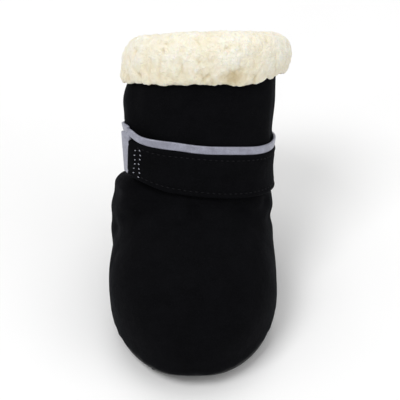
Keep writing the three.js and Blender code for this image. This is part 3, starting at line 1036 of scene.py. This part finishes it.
def make_outsole():
    """The rubber tray, from the middle of its underside out, up its edge and back in."""
    around = 260
    direction = directions(around)
    base = DOT_HEIGHT - 0.05
    bottom = plan_radius(direction, base)
    rings = [level_ring(direction, bottom * share, base) for share in TRAY_LEVELS]
    for z in np.concatenate([np.linspace(base, 1.6, 9), np.linspace(1.9, SEAM_HEIGHT, 8)]):
        tuck = TRAY_TUCK * np.exp(-((SEAM_HEIGHT - z) / 0.5))
        rings.append(level_ring(direction, plan_radius(direction, z) - tuck, z))
    rings.append(level_ring(direction, plan_radius(direction, SEAM_HEIGHT) - SOLE_THICKNESS, SEAM_HEIGHT))
    floor = plan_radius(direction, SOLE_THICKNESS) - SOLE_THICKNESS
    rings += [level_ring(direction, floor * share, SOLE_THICKNESS) for share in (1, 0.66, 0.33)]
    points = np.concatenate(rings + [[[0, 0, SOLE_THICKNESS], [0, 0, base]]])
    faces = ring_faces(len(rings), around)
    top = len(rings) * around
    faces += fan(top, top - around, around) + fan(top + 1, 0, around, flip=True)
    turn_faces_out(piece("sole_tray", points, faces, RUBBER, "outsole"))


def sole_dot(many, place, normal):
    """One rounded grip dot."""
    levels, sides = 4, 10
    helper = (1, 0, 0) if abs(normal[0]) < 0.8 else (0, 1, 0)
    u = np.cross(normal, helper)
    u /= np.linalg.norm(u)
    v = np.cross(normal, u)
    points = []
    for k in range(levels):
        bend = k / levels * math.pi / 2
        radius = DOT_RADIUS * math.cos(bend) ** 0.8
        lift = DOT_HEIGHT * math.sin(bend) - (0.15 if k == 0 else 0.0)
        for turn in [i * 2 * math.pi / sides for i in range(sides)]:
            points.append(place + normal * lift + radius * (u * math.cos(turn) + v * math.sin(turn)))
    points.append(place + normal * DOT_HEIGHT)
    top = levels * sides
    faces = ring_faces(levels, sides) + fan(top, top - sides, sides) + [list(reversed(range(sides)))]
    many.add(points, faces)


def make_dots():
    """Rows of grip dots under the sole and round its turned-up edge, clear of the heel's end."""
    many = Many()
    heights = np.linspace(DOT_HEIGHT, DOTS_UP_TO, 24)
    around = np.linspace(-math.pi, math.pi, 361)
    walls = [plan_radius(around, z) for z in heights]
    reach = range(-DOTS_REACH, DOTS_REACH + 1)
    for row, col in itertools.product(reach, reach):
        x = (col + 0.5 * (row % 2)) * DOT_PITCH + DOTS_OFF_MIDDLE[0]
        y = row * DOT_ROWS_APART + DOTS_OFF_MIDDLE[1]
        direction, radius = math.atan2(y, x), math.hypot(x, y)
        wall = np.array([np.interp(direction, around, level) for level in walls])
        if radius > wall[-1] or y > DOTS_BACK_TO:
            continue
        if radius <= wall[0]:
            sole_dot(many, np.array([x, y, DOT_HEIGHT]), np.array([0.0, 0.0, -1.0]))
            continue
        z = np.interp(radius, wall, heights)
        slope = np.interp(z, heights, np.gradient(wall, heights))
        normal = np.array([math.cos(direction), math.sin(direction), -slope])
        sole_dot(many, np.array([x, y, z]), normal / np.linalg.norm(normal))
    turn_faces_out(many.piece("sole_dots", RUBBER, "sole_rubber"))


make_outsole()
make_dots()


# Insole and lining.


INSOLE_FUR = 1.3  # mm from the insole's creases to its tips
LINING_THICKNESS = 1.0
LINING_FUR = 1.7
LINING_TO = 8.9  # the station where the collar's inner leg takes over


def make_insole():
    """The fleece insole lying in the sole."""
    around, rings = 220, 46
    direction = directions(around)
    low = SOLE_THICKNESS + GAP
    high = low + INSOLE_THICKNESS
    edge, top_edge = (plan_radius(direction, z) - SOLE_THICKNESS - 2 * GAP for z in (low, high))
    share = np.linspace(0.03, 1.0, rings)[:, None]
    flat = level_ring(direction, share * top_edge, high)
    height = fur_height(flat)
    fade = 1 - smoothstep(0.94, 1.0, share)
    flat[..., 2] += (height - 0.9) * INSOLE_FUR * fade - 0.25 * (1 - fade)
    under = level_ring(direction, edge, low)
    points = np.concatenate([flat.reshape(-1, 3), under, [[0, 0, high - 0.4], [0, 0, low]]])
    top = (rings + 1) * around
    faces = ring_faces(rings + 1, around)
    faces += fan(top, 0, around, flip=True) + fan(top + 1, top - around, around)
    # The relief height becomes painted shade in the fleece's creases.
    fur = np.concatenate([np.clip(height, 0, 1).ravel(), np.full(around + 2, 0.4)])
    made = piece("insole_fleece", points, faces, INNER_FLEECE, "insole", fur)
    turn_faces_out(made)


def make_lining():
    """The fleece that lines the foot and shaft below the collar's inner leg, down to the insole."""
    station, angle = sock_grid(0.96, LINING_TO, toe=16, body=84, around=150)
    height = fur_height(near_face(station, angle, -UPPER_WALL))
    inner = near_face(station, angle, -UPPER_WALL - LINING_THICKNESS - 0.5 - LINING_FUR * height)
    points, faces = sock(inner, outwards=False)
    # The relief height becomes painted shade in the fleece's creases.
    fur = np.append(np.clip(height, 0, 1), 0.5)
    made = piece("foot_lining", points, faces, INNER_FLEECE, fur=fur)
    cut_off_below(made, SOLE_THICKNESS + INSOLE_THICKNESS + 0.2)
    thicken(made, LINING_THICKNESS)


make_insole()
make_lining()


# Camera, light and floor.

VIEW_ELEVATION = 42.0
VIEW_DISTANCE = 430.0
VIEW_TARGET = np.array([2.0, 5.0, 38.6])
VIEW_WIDTH = 120.3  # mm across the frame at the target
LIGHTS_AIM = Vector((0, 0, 0.04))
WORLD_STRENGTH = 0.52
FLOOR_SIDE = 3.0


def look_along(way):
    """The turn that makes a camera or lamp look along a way."""
    return way.to_track_quat("-Z", "Y").to_euler()


def make_camera():
    """The camera, in front of the boot and above it."""
    data = bpy.data.cameras.new("view")
    data.sensor_fit = "HORIZONTAL"
    data.angle = 2 * math.atan(VIEW_WIDTH / 2 / VIEW_DISTANCE)
    data.clip_start = 0.01
    camera = placed("view", data)
    lift = math.radians(VIEW_ELEVATION)
    back = np.array([0.0, -math.cos(lift), math.sin(lift)])
    camera.location = Vector((VIEW_TARGET + back * VIEW_DISTANCE) * MM)
    camera.rotation_euler = look_along(Vector(-back))
    bpy.context.scene.camera = camera


def make_light(name, place, size, power):
    """A square lamp that shines at the boot, with its place and size in metres."""
    data = bpy.data.lights.new(name, "AREA")
    data.size = size
    data.energy = power
    lamp = placed(name, data)
    lamp.location = place
    lamp.rotation_euler = look_along(LIGHTS_AIM - Vector(place))


def make_stage():
    """A pale floor, an even world and three lamps."""
    n = Nodes("pale_floor")
    tone = n.ramp(n.noise(60.0), [(0.3, (0.96,) * 3), (0.7, (0.98,) * 3)])
    mesh = bpy.data.meshes.new("floor")
    corners = [(x * FLOOR_SIDE, y * FLOOR_SIDE, 0) for x, y in ((-1, -1), (1, -1), (1, 1), (-1, 1))]
    mesh.from_pydata(corners, [], [(0, 1, 2, 3)])
    mesh.materials.append(n.finish(tone, 0.9))
    placed("floor", mesh)
    world = bpy.data.worlds.new("studio")
    world.use_nodes = True
    background = world.node_tree.nodes["Background"]
    background.inputs["Color"].default_value = (1.0,) * 4
    background.inputs["Strength"].default_value = WORLD_STRENGTH
    bpy.context.scene.world = world
    make_light("key", (-0.35, -0.35, 0.95), 0.4, 4.2)
    make_light("fill", (0.6, -0.25, 0.5), 0.5, 0.8)
    make_light("top", (0.0, 0.3, 0.9), 0.5, 1.9)


make_camera()
make_stage()
bpy.context.scene.view_settings.view_transform = "Standard"
